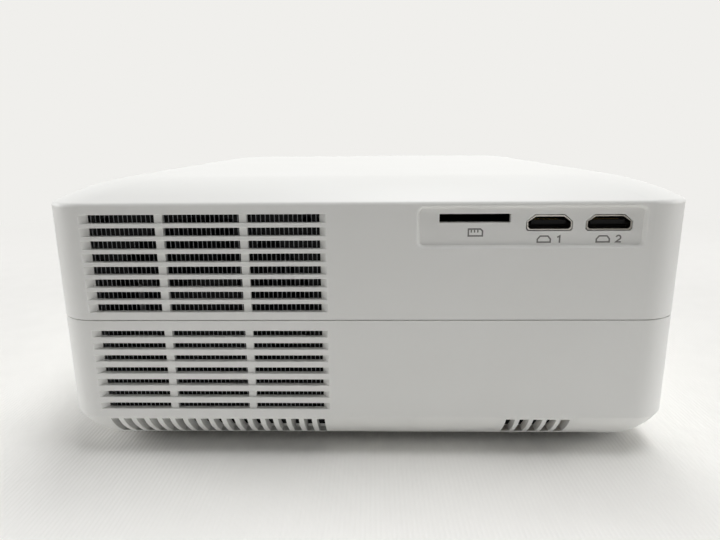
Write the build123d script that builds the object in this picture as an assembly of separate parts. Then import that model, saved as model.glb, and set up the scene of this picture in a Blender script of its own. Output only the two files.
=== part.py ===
from build123d import *
import math
import os

os.makedirs("parts", exist_ok=True)

# Frame: mm, +Z up, floor at Z = 0. X runs along the face with the sockets, that face is at -Y and
# the lens looks along +Y. The origin is below the middle of the case.

# ---- case ----
WIDTH = 226.0
DEPTH = 260.0
CORNER_R = 15.5
FOOT_H = 4.0
Z_BEVEL = 16.1
BEVEL_SLOPE = 0.484
BEVEL_CURVE = 0.0366
BEVEL_STEPS = [0.0, 2.5, 5.0, 7.5, 9.8, 12.1]
BEVEL_WALL = 4.2
Z_PART = 53.5
Z_EDGE = 95.1
CROWN_H = 7.5
CROWN_W = 25.0
CROWN_STEPS = [0.0, 2.5, 6.0, 10.5, 16.0, 21.0, 25.0]
EDGE_ROUND = 1.5
PART_GAP = 0.3
PART_ROUND = 0.2
WALL = 2.5
FLOOR_IN = FOOT_H + WALL
LIP_H = 2.0
LIP_T = 1.15
LIP_GAP = 0.1
X_FACE = WIDTH / 2
Y_FACE = DEPTH / 2
X_IN = X_FACE - WALL
Y_IN = Y_FACE - WALL
Z_CAVITY = Z_BEVEL + 1.1

# How far each wall stands from where it was measured. What is laid out from a wall adds its shift,
# so it keeps its distance from that wall when WIDTH or DEPTH changes.
LEFT = 113.0 - X_FACE
RIGHT = X_FACE - 113.0
BACK = 130.0 - Y_FACE
FRONT = Y_FACE - 130.0

# ---- gaps and fits ----
RUN_FIT = 0.07
GAP = 0.3
WINDOW_GAP = 0.4

# ---- rear louvres ----
LOUVRE_X0 = LEFT - 98.2
LOUVRE_X1 = LEFT - 13.0
LOUVRE_RAMP = 2.5
RIB_X = [(LEFT - 72.2, LEFT - 69.4), (LEFT - 42.9, LEFT - 40.2)]
RIB_BACK = 1.0
SLOT_ROUND = 0.3
UPPER_ROW0 = 56.64
UPPER_PITCH = 4.54
UPPER_ROWS = 8
UPPER_SLOT = 3.0
LOWER_ROW0 = 19.2
LOWER_PITCH = 4.67
LOWER_ROWS = 7
LOWER_SLOT = 2.45
MESH_T = 0.6

# ---- slots in the rear bevel ----
BEVEL_SLOT_X0 = LEFT - 95.4
BEVEL_SLOT_PITCH = 4.83
BEVEL_SLOT_W = 2.98
BEVEL_SLOTS = 17
RIGHT_SLOT_X0 = RIGHT + 51.8
RIGHT_SLOT_PITCH = 5.0
RIGHT_SLOT_W = 3.4
RIGHT_SLOTS = 5
BEVEL_SLOT_Z0 = 5.0
BEVEL_SLOT_Z1 = 15.0
BEVEL_SLOT_IN = 13.5
RIGHT_SLOT_Z0 = 6.0

# ---- socket recess ----
RECESS_X0 = RIGHT + 18.0
RECESS_X1 = RIGHT + 95.2
RECESS_Z0 = 79.5
RECESS_Z1 = 93.8
RECESS_D = 1.8
RECESS_DRAFT = 0.8
RECESS_R = 2.6
RECESS_ROUND = 0.6
RECESS_Y = -Y_FACE + RECESS_D
HDMI_X = [RIGHT + 63.0, RIGHT + 83.1]
HDMI_HALF_W = 7.9
HDMI_HALF_TOP = 5.05
HDMI_Z0 = 85.0
HDMI_SHOULDER = 88.25
HDMI_Z1 = 90.7
HDMI_HEEL = 0.7
SOCKET_Y1 = -Y_FACE + 14.0
CARD_X0 = RIGHT + 25.6
CARD_X1 = RIGHT + 49.9
CARD_Z0 = 88.0
CARD_Z1 = 91.0

# ---- optical axis ----
AXIS_X = LEFT - 60.0
AXIS_Z = 52.0
ENGINE_HALF_X = 42.0
ENGINE_HALF_Z = 29.0
ENGINE_WALL = 2.0
CONE_Y1 = FRONT + 55.0
ENGINE_Y1 = CONE_Y1 - 50.0
ENGINE_Y0 = ENGINE_Y1 - 61.4
CONE_HALF = 31.0
LENS_HOLE_R = 33.5
RING_R = 31.0
RING_Y0 = FRONT + 84.0
RING_Y1 = FRONT + 127.5
TUBE_R = 29.0
TUBE_Y1 = FRONT + 96.0
BARREL_R = 25.0
BARREL_BORE = 22.0
BARREL_Y0 = FRONT + 62.0
BARREL_Y1 = FRONT + 122.0

# ---- disc player ----
DISC_X = RIGHT + 47.5
DISC_Y = FRONT + 48.0
DISC_R = 60.75
TRAY_X0 = DISC_X - 64.0
TRAY_Y0 = DISC_Y - 62.0
TRAY_Y1 = DISC_Y + 62.0
TRAY_Z0 = 38.0
TRAY_Z1 = 44.5
TRAY_FLOOR = 40.0
FLANGE_OUT = 2.4
FLANGE_Z0 = 40.0
FLANGE_Z1 = 42.0
DOOR_Y0 = TRAY_Y0 - 4.0
DOOR_Y1 = TRAY_Y1 + 4.0
DOOR_Z0 = 34.5
DOOR_Z1 = 50.0
RAIL_GAP = 0.4
BASE_Z0 = 7.5
BASE_Z1 = 9.0
GEAR_X = X_FACE - 13.0
GEAR_MODULE = 1.0
GEAR_TEETH = 16
PINION_TEETH = 10
RACK_BACK = 3.75
GEAR_Y = TRAY_Y1 - RACK_BACK - GEAR_MODULE * GEAR_TEETH / 2
PINION_X = GEAR_X - GEAR_MODULE * (GEAR_TEETH + PINION_TEETH) / 2
DECK_Z0 = 25.0
DECK_Z1 = 27.0
DECK_AXIS_X = DISC_X - 64.5
DECK_AXIS_Z = 26.0
ROD_R = 1.5
ROD_Y = [DISC_Y - 18.0, DISC_Y + 18.0]
ROD_Z = 29.5
SCREW_Y = DISC_Y + 23.5
SLED_X0 = DISC_X - 29.0
SLED_X1 = DISC_X - 16.0

# ---- boards, keys, side sockets ----
BOARD_Z0 = 91.4
BOARD_T = 1.6
BOARD_Z1 = BOARD_Z0 + BOARD_T
KEY_Z = 84.0
KEY_NAMES = ["key_power", "key_source", "key_left", "key_play", "key_right", "key_eject"]
KEY_X = {name: RIGHT + 84.0 - 16.0 * index for index, name in enumerate(KEY_NAMES)}
KEY_R = 4.5
KEY_FLANGE_R = 5.6
KEY_BACK = Y_FACE - 6.5
KEY_FACE = Y_FACE - 0.3
SWITCH_Y = Y_FACE - 11.0
USB_Y = BACK - 92.0
JACK_Y = [BACK - 76.0, BACK - 64.0]
JACK_Z = 87.3
INLET_Y = BACK - 84.0
INLET_Z = 34.0
SPEAKER_Y = BACK - 44.0
SPEAKER_Z = 35.0
SPEAKER_R = 17.4
SCREW_AT = [(LEFT - 97.6, BACK - 88.0), (LEFT - 97.6, FRONT + 110.0), (LEFT - 21.5, FRONT + 90.0),
            (RIGHT + 97.6, BACK - 112.0)]
FOOT_AT = [(x, y) for y in (BACK - 104.0, FRONT + 104.0) for x in (LEFT - 88.0, RIGHT + 88.0)]
FOOT_R = 7.0
FOOT_SEAT = 1.2
TRIPOD_AT = (0.0, -40.0)
TRIPOD_R = 2.55
FAN_X = AXIS_X + 4.0
FAN_SIZE = 80.0
FAN_DEPTH = 25.0
FAN_Y0 = -Y_FACE + 7.2
FAN_Z0 = AXIS_Z - FAN_SIZE / 2
INTAKE_SIZE = 50.0
INTAKE_DEPTH = 10.0
INTAKE_Y = ENGINE_Y1 - 20.0
INTAKE_Z0 = AXIS_Z - ENGINE_HALF_Z - INTAKE_DEPTH - 2.5
SINK_X0 = AXIS_X - 32.0
SINK_X1 = AXIS_X + 38.0
SINK_Y0 = FAN_Y0 + FAN_DEPTH + 0.8
SINK_Y1 = ENGINE_Y0 - 1.6
SINK_Z0 = AXIS_Z - 36.0
SINK_Z1 = AXIS_Z + 36.0
LAMP_Y = ENGINE_Y0
STOP_Y = ENGINE_Y0 + 8.4
PLATES = [(ENGINE_Y1 - 29.0, 2.0), (ENGINE_Y1 - 21.2, 2.4), (ENGINE_Y1 - 12.0, 2.0)]
SCREW_SEAT = 44.0
DRIVE_PADS = [(DISC_X - 55.5, TRAY_Y0 + 2.0), (DISC_X + 40.5, TRAY_Y0 + 2.0), (DISC_X - 55.5, TRAY_Y1 - 2.0),
              (DISC_X + 28.5, TRAY_Y1 - 2.0)]
POWER_Z0 = 11.0
POWER_PADS = [(RIGHT, BACK - 116.0), (RIGHT + 78.0, BACK - 116.0), (RIGHT + 20.0, BACK - 34.0),
              (RIGHT + 78.0, BACK - 34.0)]
BOARD_SCREWS = [(RIGHT + 20.0, BACK - 84.0), (RIGHT + 78.0, BACK - 107.0), (RIGHT + 20.0, BACK - 34.0),
                (RIGHT + 98.0, BACK - 34.0)]
KEY_BOARD_X0 = RIGHT - 6.0
KEY_BOARD_X1 = RIGHT + 101.0
KEY_BOARD_Y0 = SWITCH_Y - 1.6
IR_X0 = RIGHT - 19.0
IR_X1 = RIGHT - 8.0
IR_Z0 = 80.0
IR_Z1 = 88.0
STATUS_X = RIGHT + 94.0


def box(x0, x1, y0, y1, z0, z1):
    low = (Align.MIN, Align.MIN, Align.MIN)
    return Pos(x0, y0, z0) * Box(x1 - x0, y1 - y0, z1 - z0, align=low)


def rod_z(r, x, y, z0, z1):
    return Pos(x, y, (z0 + z1) / 2) * Cylinder(r, z1 - z0)


def rod_y(r, x, z, y0, y1):
    return Pos(x, (y0 + y1) / 2, z) * Rot(90, 0, 0) * Cylinder(r, y1 - y0)


def rod_x(r, y, z, x0, x1):
    return Pos((x0 + x1) / 2, y, z) * Rot(0, 90, 0) * Cylinder(r, x1 - x0)


def plan(inset, z, radius):
    return Pos(0, 0, z) * RectangleRounded(WIDTH - 2 * inset, DEPTH - 2 * inset, radius)


def straight(inset, z0, z1):
    return extrude(plan(inset, z0, CORNER_R - inset), z1 - z0)


def bevel_inset(drop):
    """How far the curved lower edge has gone in, a given drop below the top of the bevel."""
    return BEVEL_SLOPE * drop + BEVEL_CURVE * drop ** 2


def bevel_block():
    insets = [(bevel_inset(drop), Z_BEVEL - drop) for drop in BEVEL_STEPS]
    return loft([plan(inset, z, CORNER_R - inset) for inset, z in insets])


def bevel_cavity():
    """The inside of the bevel, from the floor up to where the plain wall starts."""
    steps = [(WALL, Z_CAVITY), (bevel_inset(0.5) + BEVEL_WALL, Z_BEVEL - 0.5)]
    for drop in (3.1, 6.0, Z_BEVEL - FLOOR_IN):
        steps.append((bevel_inset(drop) + BEVEL_WALL, Z_BEVEL - drop))
    return loft([plan(inset, z, max(CORNER_R - inset, 2.5)) for inset, z in steps], ruled=True)


def crown(inset, z0):
    """The dished rise of the roof, from the wall's top edge to its flat middle."""
    sections = []
    for step in CROWN_STEPS:
        rise = CROWN_H * (1 - (1 - step / CROWN_W) ** 2)
        radius = CORNER_R - inset + 0.15 * step
        sections.append(plan(inset + step, z0 + rise, radius))
    return loft(sections)


def ring_y(outer, inner, x, z, y0, y1):
    return rod_y(outer, x, z, y0, y1) - rod_y(inner, x, z, y0 - 1, y1 + 1)


def ring_z(outer, inner, x, y, z0, z1):
    return rod_z(outer, x, y, z0, z1) - rod_z(inner, x, y, z0 - 1, z1 + 1)


def louvre_cut(z0, height):
    """One slot: open at the face, ramped at both ends, with two ribs left at its back."""
    front = -Y_FACE - 0.5
    back = -Y_IN + 0.1
    slope = LOUVRE_RAMP / WALL
    points = [(LOUVRE_X0 - 0.5 * slope, front), (LOUVRE_X1 + 0.5 * slope, front)]
    points.append((LOUVRE_X1 - LOUVRE_RAMP, back))
    for x0, x1 in reversed(RIB_X):
        points += [(x1, back), (x1, -Y_FACE + RIB_BACK), (x0, -Y_FACE + RIB_BACK), (x0, back)]
    points.append((LOUVRE_X0 + LOUVRE_RAMP, back))
    return Pos(0, 0, z0) * extrude(make_face(Polyline(*points, close=True)), height)


def hdmi_outline(x, inset, y0, y1):
    half, top = HDMI_HALF_W - inset, HDMI_HALF_TOP - inset * 0.6
    low, high = HDMI_Z0 + inset, HDMI_Z1 - inset
    points = [(half - HDMI_HEEL, low), (half, low + HDMI_HEEL), (half, HDMI_SHOULDER), (top, high)]
    points += [(-x, z) for x, z in reversed(points)]
    face = Plane.XZ * make_face(Polyline(*points, close=True))
    return Pos(x, y0, 0) * extrude(face, -(y1 - y0))


def inlet_outline(inset, x0, x1):
    half = 10.4 - inset
    high = 4.6 - inset
    face = Plane.YZ * RectangleRounded(2 * half, 2 * high, high - 0.05)
    return Pos(x0, INLET_Y, INLET_Z) * extrude(face, x1 - x0)


def round_slots(shell, z0, z1):
    """Breaks the mouths of the louvre slots between two heights of the socket face."""
    mouths = shell.edges().filter_by_position(Axis.Y, -Y_FACE - 0.01, -Y_FACE + 0.01)
    mouths = mouths.filter_by_position(Axis.X, LOUVRE_X0 - 1, LOUVRE_X1 + 1)
    return fillet(mouths.filter_by_position(Axis.Z, z0, z1), SLOT_ROUND)


# ---- lower shell ----
def bottom_case():
    outer = straight(0, Z_BEVEL, Z_PART) + bevel_block()
    outer = fillet(outer.edges().filter_by_position(Axis.Z, Z_PART, Z_PART), PART_ROUND)
    cavity = bevel_cavity() + straight(WALL, Z_CAVITY, Z_PART + 1)
    lip = straight(WALL - LIP_T, Z_PART - 1, Z_PART + LIP_H) - straight(WALL, Z_PART - 2, Z_PART + 3)
    envelope = outer
    shell = outer - cavity + lip

    inside = []
    for x, y in SCREW_AT:
        inside.append(rod_z(4.5, x, y, FOOT_H + 0.1, Z_PART))
    inside.append(rod_z(7.5, TRIPOD_AT[0], TRIPOD_AT[1], FOOT_H + 0.1, 12.4))
    for x0, x1 in ((FAN_X - 34, FAN_X - 24), (FAN_X + 24, FAN_X + 34)):
        inside.append(box(x0, x1, FAN_Y0 + 2, FAN_Y0 + FAN_DEPTH - 3, FLOOR_IN - 0.1, FAN_Z0))
    for x in (AXIS_X - 20, AXIS_X + 20):
        for y in (INTAKE_Y - 20, INTAKE_Y + 20):
            inside.append(rod_z(3.0, x, y, FLOOR_IN - 0.1, INTAKE_Z0))
    for x, y in DRIVE_PADS:
        inside.append(rod_z(5.0, x, y, FLOOR_IN - 0.1, BASE_Z0))
    for x, y in POWER_PADS:
        inside.append(rod_z(3.5, x, y, FLOOR_IN - 0.1, POWER_Z0))
    engine_z0 = AXIS_Z - ENGINE_HALF_Z
    for x in (AXIS_X - 34, AXIS_X + 34):
        inside.append(box(x - 4, x + 4, ENGINE_Y0 + 4.4, ENGINE_Y1 - 9, FLOOR_IN - 0.1, engine_z0))
    for x in (SINK_X0 + 6, SINK_X1 - 14):
        inside.append(box(x, x + 8, SINK_Y0 + 7, SINK_Y1 - 6, FLOOR_IN - 0.1, SINK_Z0))
    bosses = inside[0]
    for piece in inside[1:]:
        bosses = bosses + piece
    shell = shell + (bosses & envelope)

    cuts = []
    for row in range(LOWER_ROWS):
        cuts.append(louvre_cut(LOWER_ROW0 + row * LOWER_PITCH, LOWER_SLOT))
    front, back = -Y_FACE - 1, -Y_FACE + BEVEL_SLOT_IN
    for slot in range(BEVEL_SLOTS):
        x = BEVEL_SLOT_X0 + slot * BEVEL_SLOT_PITCH
        cuts.append(box(x, x + BEVEL_SLOT_W, front, back, BEVEL_SLOT_Z0, BEVEL_SLOT_Z1))
    for slot in range(RIGHT_SLOTS):
        x = RIGHT_SLOT_X0 + slot * RIGHT_SLOT_PITCH
        cuts.append(box(x, x + RIGHT_SLOT_W, front, back - 0.5, RIGHT_SLOT_Z0, BEVEL_SLOT_Z1))
    cuts.append(rod_y(LENS_HOLE_R, AXIS_X, AXIS_Z, Y_FACE - 12, Y_FACE + 1))
    cuts.append(box(X_IN - 1, X_FACE + 1, DOOR_Y0 - WINDOW_GAP, DOOR_Y1 + WINDOW_GAP,
                    DOOR_Z0 - WINDOW_GAP, DOOR_Z1 + WINDOW_GAP))
    cuts.append(inlet_outline(-1.6, X_IN - 1, X_FACE + 1))
    for step in range(-3, 4):
        reach = math.sqrt(15.0 ** 2 - (4.2 * step) ** 2)
        y = SPEAKER_Y + 4.2 * step
        cuts.append(box(X_IN - 1, X_FACE + 1, y - 1, y + 1, SPEAKER_Z - reach, SPEAKER_Z + reach))
    for step in range(-4, 5):
        x = AXIS_X + 5.0 * step
        reach = math.sqrt(23.0 ** 2 - (5.0 * step) ** 2)
        cuts.append(box(x - 1.5, x + 1.5, INTAKE_Y - reach, INTAKE_Y + reach, FOOT_H - 1, FLOOR_IN + 1))
    for step in range(10):
        y = BACK - 70.0 + 7.0 * step
        cuts.append(box(-X_FACE - 1, -X_IN + 1, y, y + 3, 22, 46))
    for x, y in SCREW_AT:
        cuts.append(rod_z(3.1, x, y, FOOT_H - 1, SCREW_SEAT))
        cuts.append(rod_z(1.65, x, y, SCREW_SEAT - 1, Z_PART + 1))
    for x, y in FOOT_AT:
        cuts.append(rod_z(FOOT_R, x, y, FOOT_H - 1, FOOT_H + FOOT_SEAT))
    cuts.append(rod_z(4.75, TRIPOD_AT[0], TRIPOD_AT[1], FOOT_H - 1, 11.0))
    for x, y in DRIVE_PADS:
        cuts.append(rod_z(1.25, x, y, FOOT_H + 1.0, BASE_Z0 + 1))
    return round_slots(shell - cuts, Z_BEVEL + 1, Z_PART - 1)


# ---- upper shell ----
def top_cover():
    outer = straight(0, Z_PART + PART_GAP, Z_EDGE) + crown(0, Z_EDGE)
    edge_loop = outer.edges().filter_by_position(Axis.Z, Z_EDGE - 0.01, Z_EDGE + 0.01)
    outer = fillet(edge_loop, EDGE_ROUND)
    low_loop = outer.edges().filter_by_position(Axis.Z, Z_PART + PART_GAP, Z_PART + PART_GAP)
    outer = fillet(low_loop, PART_ROUND)
    z_in = Z_EDGE - WALL
    cavity = straight(WALL, Z_PART - 1, z_in) + crown(WALL, z_in)
    rabbet = straight(WALL - LIP_T - LIP_GAP, Z_PART - 1, Z_PART + LIP_H + LIP_GAP)
    envelope = outer + straight(WALL, Z_PART, Z_EDGE - 1)
    shell = outer - cavity - rabbet

    inside = [box(RECESS_X0 - 2, RECESS_X1 + 2, -Y_IN - 0.5, RECESS_Y + WALL, RECESS_Z0 - 2, Z_EDGE + 6)]
    for x, y in SCREW_AT:
        inside.append(rod_z(3.6, x, y, Z_PART, Z_EDGE + 6))
    for x, y in BOARD_SCREWS:
        inside.append(rod_z(3.0, x, y, BOARD_Z1, Z_EDGE + 6))
    for x in (KEY_BOARD_X0 + 3, KEY_BOARD_X1 - 3):
        inside.append(box(x - 3, x + 3, KEY_BOARD_Y0 - 4, KEY_BOARD_Y0, KEY_Z + 3, Z_EDGE + 6))
    bosses = inside[0]
    for piece in inside[1:]:
        bosses = bosses + piece
    shell = shell + (bosses & envelope)

    cuts = []
    for row in range(UPPER_ROWS):
        cuts.append(louvre_cut(UPPER_ROW0 + row * UPPER_PITCH, UPPER_SLOT))
    for x in HDMI_X:
        cuts.append(hdmi_outline(x, 0, -Y_FACE - 1, -Y_FACE + 10))
    cuts.append(box(CARD_X0, CARD_X1, -Y_FACE - 1, -Y_FACE + 10, CARD_Z0, CARD_Z1))
    cuts.append(rod_y(LENS_HOLE_R, AXIS_X, AXIS_Z, Y_FACE - 12, Y_FACE + 1))
    for x in KEY_X.values():
        cuts.append(rod_y(KEY_R + GAP, x, KEY_Z, Y_FACE - 10, Y_FACE + 1))
    cuts.append(box(IR_X0 - 0.1, IR_X1 + 0.1, Y_FACE - 10, Y_FACE + 1, IR_Z0 - 0.1, IR_Z1 + 0.1))
    cuts.append(rod_y(1.55, STATUS_X, KEY_Z, Y_FACE - 10, Y_FACE + 1))
    cuts.append(box(X_IN - 1, X_FACE + 1, USB_Y - 7.0, USB_Y + 7.0, 83.9, 90.9))
    for y in JACK_Y:
        cuts.append(rod_x(3.2, y, JACK_Z, X_IN - 1, X_FACE + 1))
    for step in range(10):
        y = BACK - 70.0 + 7.0 * step
        cuts.append(box(-X_FACE - 1, -X_IN + 1, y, y + 3, 60, 84))
    for x, y in SCREW_AT:
        cuts.append(rod_z(1.45, x, y, Z_PART - 1, 62.5))
    for x, y in BOARD_SCREWS:
        cuts.append(rod_z(1.1, x, y, BOARD_Z1 - 1, BOARD_Z1 + 4))
    shell = shell - cuts
    mid_x, mid_z = (RECESS_X0 + RECESS_X1) / 2, (RECESS_Z0 + RECESS_Z1) / 2
    wide, high = RECESS_X1 - RECESS_X0, RECESS_Z1 - RECESS_Z0
    grow = RECESS_DRAFT / RECESS_D
    mouth = Plane.XZ * RectangleRounded(wide + grow, high + grow, RECESS_R)
    floor = Plane.XZ * RectangleRounded(wide - 2 * RECESS_DRAFT, high - 2 * RECESS_DRAFT, RECESS_R - 0.9)
    recess = loft([Pos(mid_x, -Y_FACE - 0.5, mid_z) * mouth, Pos(mid_x, RECESS_Y, mid_z) * floor],
                  ruled=True)
    shell = shell - recess
    rim = shell.edges().filter_by_position(Axis.Y, -Y_FACE - 0.01, -Y_FACE + 0.01)
    rim = rim.filter_by_position(Axis.X, RECESS_X0 - 3, RECESS_X1 + 3)
    rim = rim.filter_by_position(Axis.Z, RECESS_Z0 - 3, Z_EDGE - 1.0)
    return round_slots(fillet(rim, RECESS_ROUND), Z_PART + 1, Z_EDGE - 1)


def mesh_plate(z0, z1):
    return box(LOUVRE_X0 + 0.9, LOUVRE_X1 + 0.4, -Y_IN, -Y_IN + MESH_T, z0, z1)


def rubber_feet():
    feet = [rod_z(FOOT_R, x, y, 0, FOOT_H + FOOT_SEAT) for x, y in FOOT_AT]
    return [chamfer(foot.edges().sort_by(Axis.Z)[0], 0.8) for foot in feet]


def case_screws():
    screws = []
    for x, y in SCREW_AT:
        head = rod_z(2.8, x, y, SCREW_SEAT - 2.0, SCREW_SEAT)
        slot = box(x - 1.8, x + 1.8, y - 0.4, y + 0.4, SCREW_SEAT - 3, SCREW_SEAT - 1.1)
        cross = box(x - 0.4, x + 0.4, y - 1.8, y + 1.8, SCREW_SEAT - 3, SCREW_SEAT - 1.1)
        screws.append(head + rod_z(1.45, x, y, SCREW_SEAT, 62.0) - slot - cross)
    return screws


def drive_screws():
    screws = []
    for x, y in DRIVE_PADS:
        screws.append(rod_z(2.4, x, y, BASE_Z1, BASE_Z1 + 1.6) + rod_z(1.25, x, y, 5.4, BASE_Z1))
    return screws


def tripod_insert():
    x, y = TRIPOD_AT
    return ring_z(4.75, TRIPOD_R, x, y, FOOT_H, 11.0)


def lens_bezel():
    sleeve = rod_y(LENS_HOLE_R - 0.1, AXIS_X, AXIS_Z, Y_IN, Y_FACE)
    flange = rod_y(LENS_HOLE_R + 1.2, AXIS_X, AXIS_Z, Y_IN - 1.6, Y_IN)
    throat = rod_y(RING_R + 0.5, AXIS_X, AXIS_Z, Y_FACE - 10, Y_FACE + 1)
    flare = Pos(AXIS_X, Y_FACE - 0.5, AXIS_Z) * Rot(-90, 0, 0) * Cone(RING_R + 0.5, RING_R + 2.0, 1.6)
    return sleeve + flange - throat - flare


# ---- fans ----
def fan_frame(size, depth, bore, hub):
    """Square fan frame about +Z from Z = 0, its motor seat and struts at the Z = 0 end."""
    low = (Align.CENTER, Align.CENTER, Align.MIN)
    square = extrude(RectangleRounded(size, size, 4), depth)
    frame = square - Pos(0, 0, -1) * Cylinder(bore, depth + 2, align=low)
    for x in (-1, 1):
        for y in (-1, 1):
            at = size / 2 - 4.2
            frame = frame - Pos(x * at, y * at, -1) * Cylinder(2.0, depth + 2, align=low)
    frame = frame + Cylinder(hub, 2, align=low)
    for turn in (30, 120, 210, 300):
        strut = Pos(hub - 1, -1.5, 0) * Box(bore - hub + 2, 3, 2, align=(Align.MIN,) * 3)
        frame = frame + Rot(0, 0, turn) * strut
    return frame + Cylinder(1.5, depth * 0.7, align=low)


def fan_rotor(depth, bore, hub, blades):
    low = (Align.CENTER, Align.CENTER, Align.MIN)
    tip = bore - 1.2
    rotor = Pos(0, 0, 2.6) * Cylinder(hub, depth - 3.6, align=low)
    chord = depth - 5.0
    limit = Pos(0, 0, 2.6) * Cylinder(tip, depth - 3.6, align=low)
    for index in range(blades):
        blade = Pos((hub + tip) / 2, 0, depth / 2 + 0.7) * Rot(38, 0, 0) * Box(tip - hub + 3, 1.2, chord)
        rotor = rotor + Rot(0, 0, 360 / blades * index) * (blade & limit)
    return rotor - Cylinder(1.5 + RUN_FIT, depth * 0.7 + GAP, align=low)


def exhaust(part):
    return Pos(FAN_X, FAN_Y0, AXIS_Z) * Rot(-90, 0, 0) * part


def intake(part):
    return Pos(AXIS_X, INTAKE_Y, INTAKE_Z0) * part


# ---- light engine ----
def heat_sink():
    sink = box(SINK_X0, SINK_X1, SINK_Y1 - 4, SINK_Y1, SINK_Z0, SINK_Z1)
    count = 15
    pitch = (SINK_X1 - SINK_X0 - 1.4) / (count - 1)
    for index in range(count):
        x = SINK_X0 + index * pitch
        sink = sink + box(x, x + 1.4, SINK_Y0, SINK_Y1 - 3.5, SINK_Z0, SINK_Z1)
    return sink


def engine_housing():
    x0, x1 = AXIS_X - ENGINE_HALF_X, AXIS_X + ENGINE_HALF_X
    z0, z1 = AXIS_Z - ENGINE_HALF_Z, AXIS_Z + ENGINE_HALF_Z
    t = ENGINE_WALL
    body = box(x0, x1, ENGINE_Y0, ENGINE_Y1, z0, z1)
    body = body - box(x0 + t, x1 - t, ENGINE_Y0 + t, ENGINE_Y1 - 0.01, z0 + t, z1 + 1)
    wide, high = 2 * ENGINE_HALF_X, 2 * ENGINE_HALF_Z

    def cone(wall, y0, y1):
        near = Plane.XZ * Rectangle(wide - 2 * wall, high - 2 * wall)
        far = Plane.XZ * Rectangle(2 * CONE_HALF - 2 * wall, 2 * ENGINE_HALF_Z - 2 * wall)
        return loft([Pos(AXIS_X, y0, AXIS_Z) * near, Pos(AXIS_X, y1, AXIS_Z) * far], ruled=True)

    body = body - box(x0 + t, x1 - t, ENGINE_Y1 - 1, ENGINE_Y1 + 1, z0 + t, z1 - t)
    body = body + (cone(0, ENGINE_Y1, CONE_Y1) - cone(t, ENGINE_Y1, CONE_Y1))
    body = body - box(AXIS_X - 12, AXIS_X + 12, ENGINE_Y0 - 1, ENGINE_Y0 + 3, AXIS_Z - 12, AXIS_Z + 12)
    body = body - rod_z(23, AXIS_X, INTAKE_Y, z0 - 1, z0 + t + 1)
    body = body + ring_z(24.8, 23, AXIS_X, INTAKE_Y, INTAKE_Z0 + INTAKE_DEPTH + 0.3, z0 + 0.5)
    stop = box(x0 + t, x1 - t, STOP_Y, STOP_Y + 2, z0 + t, z1 - t - GAP)
    body = body + (stop - rod_y(20, AXIS_X, AXIS_Z, STOP_Y - 2, STOP_Y + 4))
    for y, thick in PLATES:
        for side in (y - 1.7, y + thick + 0.1):
            for near, far in ((x0 + t, x0 + t + 1.6), (x1 - t - 1.6, x1 - t)):
                body = body + box(near, far, side, side + 1.6, z0 + t, z1 - t - GAP)
    return body


def engine_lid():
    x0, x1 = AXIS_X - ENGINE_HALF_X + ENGINE_WALL, AXIS_X + ENGINE_HALF_X - ENGINE_WALL
    z1 = AXIS_Z + ENGINE_HALF_Z
    lid = box(x0 + 0.1, x1 - 0.1, ENGINE_Y0 + ENGINE_WALL + 0.1, ENGINE_Y1 - 1.1, z1 - ENGINE_WALL, z1)
    for step in range(-4, 5):
        x = AXIS_X + 8 * step
        lid = lid - box(x - 2, x + 2, ENGINE_Y1 - 35, ENGINE_Y1 - 5, z1 - 3, z1 + 1)
    return lid


def plate(y, thick):
    half = ENGINE_HALF_X - ENGINE_WALL - 0.2
    low, high = AXIS_Z - ENGINE_HALF_Z + ENGINE_WALL, AXIS_Z + ENGINE_HALF_Z - ENGINE_WALL - 0.4
    return box(AXIS_X - half, AXIS_X + half, y, y + thick, low, high)


def bulge(radius, sag, x, z, y0, y1, forward):
    """A round lens from y0 to y1 with one face domed by sag, forward for +Y."""
    ball = (radius ** 2 + sag ** 2) / (2 * sag)
    centre = y1 - ball if forward else y0 + ball
    return rod_y(radius, x, z, y0, y1) & (Pos(x, centre, z) * Sphere(ball))


def led_emitter():
    top = LAMP_Y + 1.5
    base = box(AXIS_X - 10, AXIS_X + 10, LAMP_Y, top, AXIS_Z - 10, AXIS_Z + 10)
    dome = Pos(AXIS_X, top, AXIS_Z) * Sphere(6.5)
    return base + (dome & box(AXIS_X - 9, AXIS_X + 9, top, top + 9.9, AXIS_Z - 9, AXIS_Z + 9))


def lens_tube():
    flange = box(AXIS_X - CONE_HALF, AXIS_X + CONE_HALF, CONE_Y1, CONE_Y1 + 3, AXIS_Z - ENGINE_HALF_Z,
                 AXIS_Z + ENGINE_HALF_Z)
    tube = rod_y(TUBE_R, AXIS_X, AXIS_Z, CONE_Y1 + 2, TUBE_Y1)
    return flange + tube - rod_y(BARREL_R + RUN_FIT, AXIS_X, AXIS_Z, CONE_Y1 - 1, TUBE_Y1 + 1)


def lens_barrel():
    body = rod_y(BARREL_R, AXIS_X, AXIS_Z, BARREL_Y0, BARREL_Y1)
    body = body - rod_y(BARREL_BORE, AXIS_X, AXIS_Z, BARREL_Y0 - 1, BARREL_Y1 + 1)
    for y0, y1 in ((BARREL_Y0 + 12, BARREL_Y0 + 16), (BARREL_Y1 - 24, BARREL_Y1 - 16)):
        body = body + ring_y(BARREL_BORE + 0.5, BARREL_BORE - 3, AXIS_X, AXIS_Z, y0, y1)
    return chamfer(body.edges().sort_by(Axis.Y)[-2:], 0.6)


def lens_elements():
    rear = bulge(BARREL_BORE, 4, AXIS_X, AXIS_Z, BARREL_Y0 + 4, BARREL_Y0 + 12, False)
    return [rear, bulge(BARREL_BORE, 6, AXIS_X, AXIS_Z, BARREL_Y1 - 16, BARREL_Y1 - 4, True)]


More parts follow.
